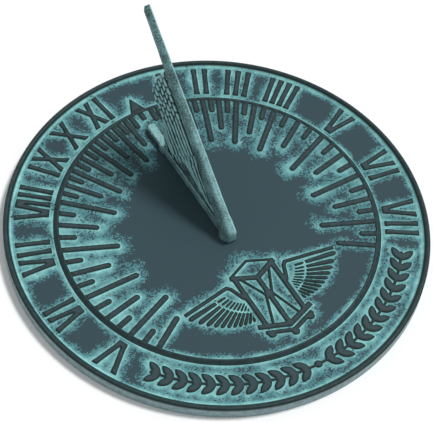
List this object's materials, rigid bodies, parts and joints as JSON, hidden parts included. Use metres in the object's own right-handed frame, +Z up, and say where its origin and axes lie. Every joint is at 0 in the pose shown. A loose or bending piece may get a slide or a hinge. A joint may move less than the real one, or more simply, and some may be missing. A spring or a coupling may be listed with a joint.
{
  "type": "sundial",
  "caption": "Round cast-iron garden sundial with raised Roman hour numerals and lines, a winged hourglass emblem and a wing-shaped gnomon screwed on from below.",
  "frame": {"origin": "centre of the plate's underside, in the plane of the skirt's lower edge that the dial rests on", "axes": "+Z up, out of the dial's face; +Y from the centre towards the noon mark, in the gnomon's plane; +X towards the afternoon hours"},
  "size_m": [0.254, 0.254, 0.1069],
  "materials": {
    "plate_iron": "matt slate-blue paint with turquoise verdigris rubbed into the recesses",
    "gnomon_iron": "matt grey-green paint with pale verdigris on the feathers",
    "screw_steel": "zinc-plated steel, satin",
    "washer_steel": "zinc-plated spring steel, satin"
  },
  "bodies": {
    "root": {"dial_plate": "plate_iron", "gnomon": "gnomon_iron", "gnomon_screw_front": "screw_steel", "gnomon_screw_rear": "screw_steel", "lock_washer_front": "washer_steel", "lock_washer_rear": "washer_steel"}
  },
  "joints": []
}
